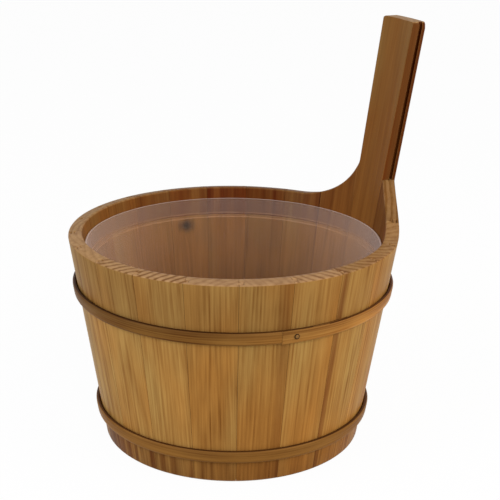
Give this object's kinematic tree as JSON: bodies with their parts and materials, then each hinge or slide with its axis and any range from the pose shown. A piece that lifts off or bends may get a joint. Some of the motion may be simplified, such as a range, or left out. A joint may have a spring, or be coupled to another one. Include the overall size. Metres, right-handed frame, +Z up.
{
  "type": "sauna bucket",
  "caption": "Tapered coopered wooden bucket with bent wood hoops, a tall stave handle and a lift-out frosted liner, for carrying water in a sauna.",
  "frame": {"origin": "on the floor under the middle of the bucket's whole box, handle included; the bucket's own axis is 12 mm towards -X", "axes": "+Z up along the bucket's axis, +X towards the handle, +Y to the left of someone looking at the handle from inside"},
  "size_m": [0.2848, 0.26, 0.326],
  "materials": {
    "stave_wood": "planed and oiled, satin",
    "hoop_wood": "bent and oiled, satin",
    "bottom_wood": "planed, unfinished",
    "nail_steel": "dull",
    "liner_plastic": "moulded, frosted, translucent"
  },
  "bodies": {
    "bucket": {"handle_stave": "stave_wood", "left_shoulder_stave": "stave_wood", "right_shoulder_stave": "stave_wood", "front_stave_1": "stave_wood", "front_stave_2": "stave_wood", "front_stave_3": "stave_wood", "front_stave_4": "stave_wood", "front_stave_5": "stave_wood", "front_stave_6": "stave_wood", "front_stave_7": "stave_wood", "front_stave_8": "stave_wood", "back_stave_1": "stave_wood", "back_stave_2": "stave_wood", "back_stave_3": "stave_wood", "back_stave_4": "stave_wood", "back_stave_5": "stave_wood", "back_stave_6": "stave_wood", "back_stave_7": "stave_wood", "back_stave_8": "stave_wood", "back_stave_9": "stave_wood", "back_stave_10": "stave_wood", "upper_hoop": "hoop_wood", "lower_hoop": "hoop_wood", "upper_hoop_nail": "nail_steel", "lower_hoop_nail": "nail_steel", "bottom_board_left": "bottom_wood", "bottom_board_middle": "bottom_wood", "bottom_board_right": "bottom_wood", "bottom_dowel_1": "bottom_wood", "bottom_dowel_2": "bottom_wood", "bottom_dowel_3": "bottom_wood", "bottom_dowel_4": "bottom_wood"},
    "liner": {"liner": "liner_plastic"}
  },
  "joints": [
    {"name": "liner_lift", "type": "slide", "parent": "bucket", "child": "liner", "axis": [0, 0, 1], "range_m": [0, 0.2]}
  ]
}
